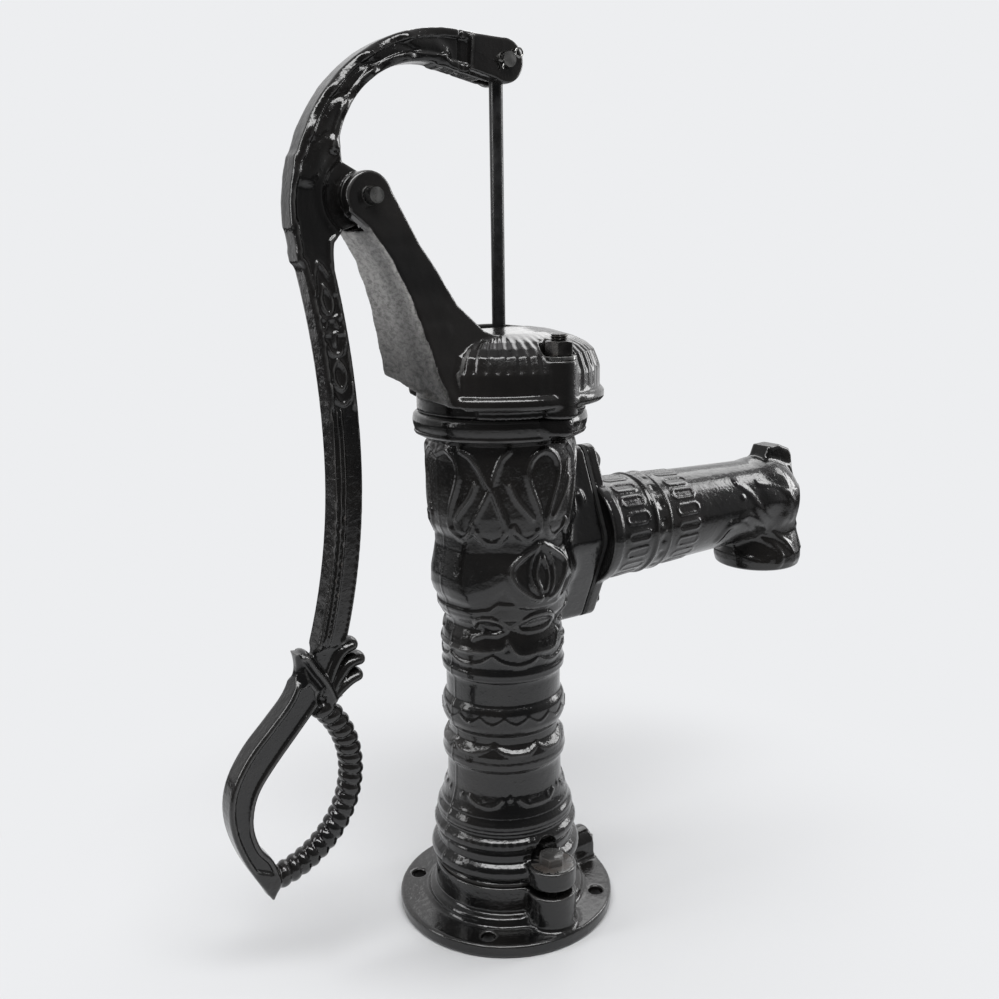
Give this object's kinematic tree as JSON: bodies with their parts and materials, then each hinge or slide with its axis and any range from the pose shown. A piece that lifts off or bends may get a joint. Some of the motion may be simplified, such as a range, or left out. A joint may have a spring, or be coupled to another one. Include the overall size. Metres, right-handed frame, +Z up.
{
  "type": "hand well pump",
  "caption": "Cast-iron hand well pump with a curved lever, looped grip, turned-down spout, bolted bonnet bracket, plunger and foot valve.",
  "frame": {"origin": "centre of the underside of the foot flange, on the axis of the cylinder and of the foot's bolt circle", "axes": "+Z up along the cylinder's axis, +X towards the spout, -X towards the lever's grip, Y across"},
  "size_m": [0.5381, 0.168, 0.644],
  "materials": {
    "enamel_iron": "gloss black enamel on cast iron",
    "bare_iron": "rough cast",
    "painted_rod": "semi-gloss black paint",
    "dark_steel": "painted black over steel",
    "zinc_steel": "zinc plated",
    "brass": "turned",
    "leather": "oiled",
    "rubber_gasket": "matte"
  },
  "bodies": {
    "root": {"foot_base": "enamel_iron", "drain_plug": "zinc_steel", "foot_gasket": "leather", "pump_body": "enamel_iron", "foot_bolts": "dark_steel", "spout_gasket": "rubber_gasket", "spout": "enamel_iron", "spout_bolts": "dark_steel", "bonnet": "enamel_iron", "bonnet_studs": "dark_steel", "bonnet_washers": "zinc_steel", "bonnet_nuts": "dark_steel", "fulcrum_pin": "zinc_steel", "fulcrum_split_pins": "zinc_steel"},
    "lever": {"lever": "enamel_iron", "rod_pin": "zinc_steel", "rod_split_pins": "zinc_steel"},
    "rod": {"piston_rod": "painted_rod", "rod_washer": "zinc_steel", "rod_nuts": "zinc_steel"},
    "plunger": {"plunger_follower": "brass", "plunger_leather": "leather", "plunger_body": "brass", "plunger_cage": "brass"},
    "plunger_valve": {"plunger_valve": "brass"},
    "foot_flap": {"flap_leather": "leather", "flap_weight": "bare_iron", "flap_screw": "brass"}
  },
  "joints": [
    {"name": "lever_swing", "type": "hinge", "parent": "root", "child": "lever", "pos_m": [-0.1085, 0, 0.5375], "axis": [0, 1, 0], "range_deg": [0, 50]},
    {"name": "rod_pivot", "type": "hinge", "parent": "lever", "child": "rod", "pos_m": [0, 0, 0.627], "axis": [0, 1, 0], "range_deg": [-45, 0]},
    {"name": "plunger_slide", "type": "slide", "parent": "root", "child": "plunger", "axis": [0, 0, 1], "range_m": [-0.1135, 0]},
    {"name": "valve_lift", "type": "slide", "parent": "plunger", "child": "plunger_valve", "axis": [0, 0, 1], "range_m": [0, 0.008]},
    {"name": "flap_hinge", "type": "hinge", "parent": "root", "child": "foot_flap", "pos_m": [-0.028, 0, 0.0398], "axis": [0, -1, 0], "range_deg": [0, 35]}
  ],
  "couplings": [
    {"joint": "rod_pivot", "follows": "lever_swing", "ratio": -0.884},
    {"joint": "plunger_slide", "follows": "lever_swing", "m_per_rad": -0.1295}
  ]
}
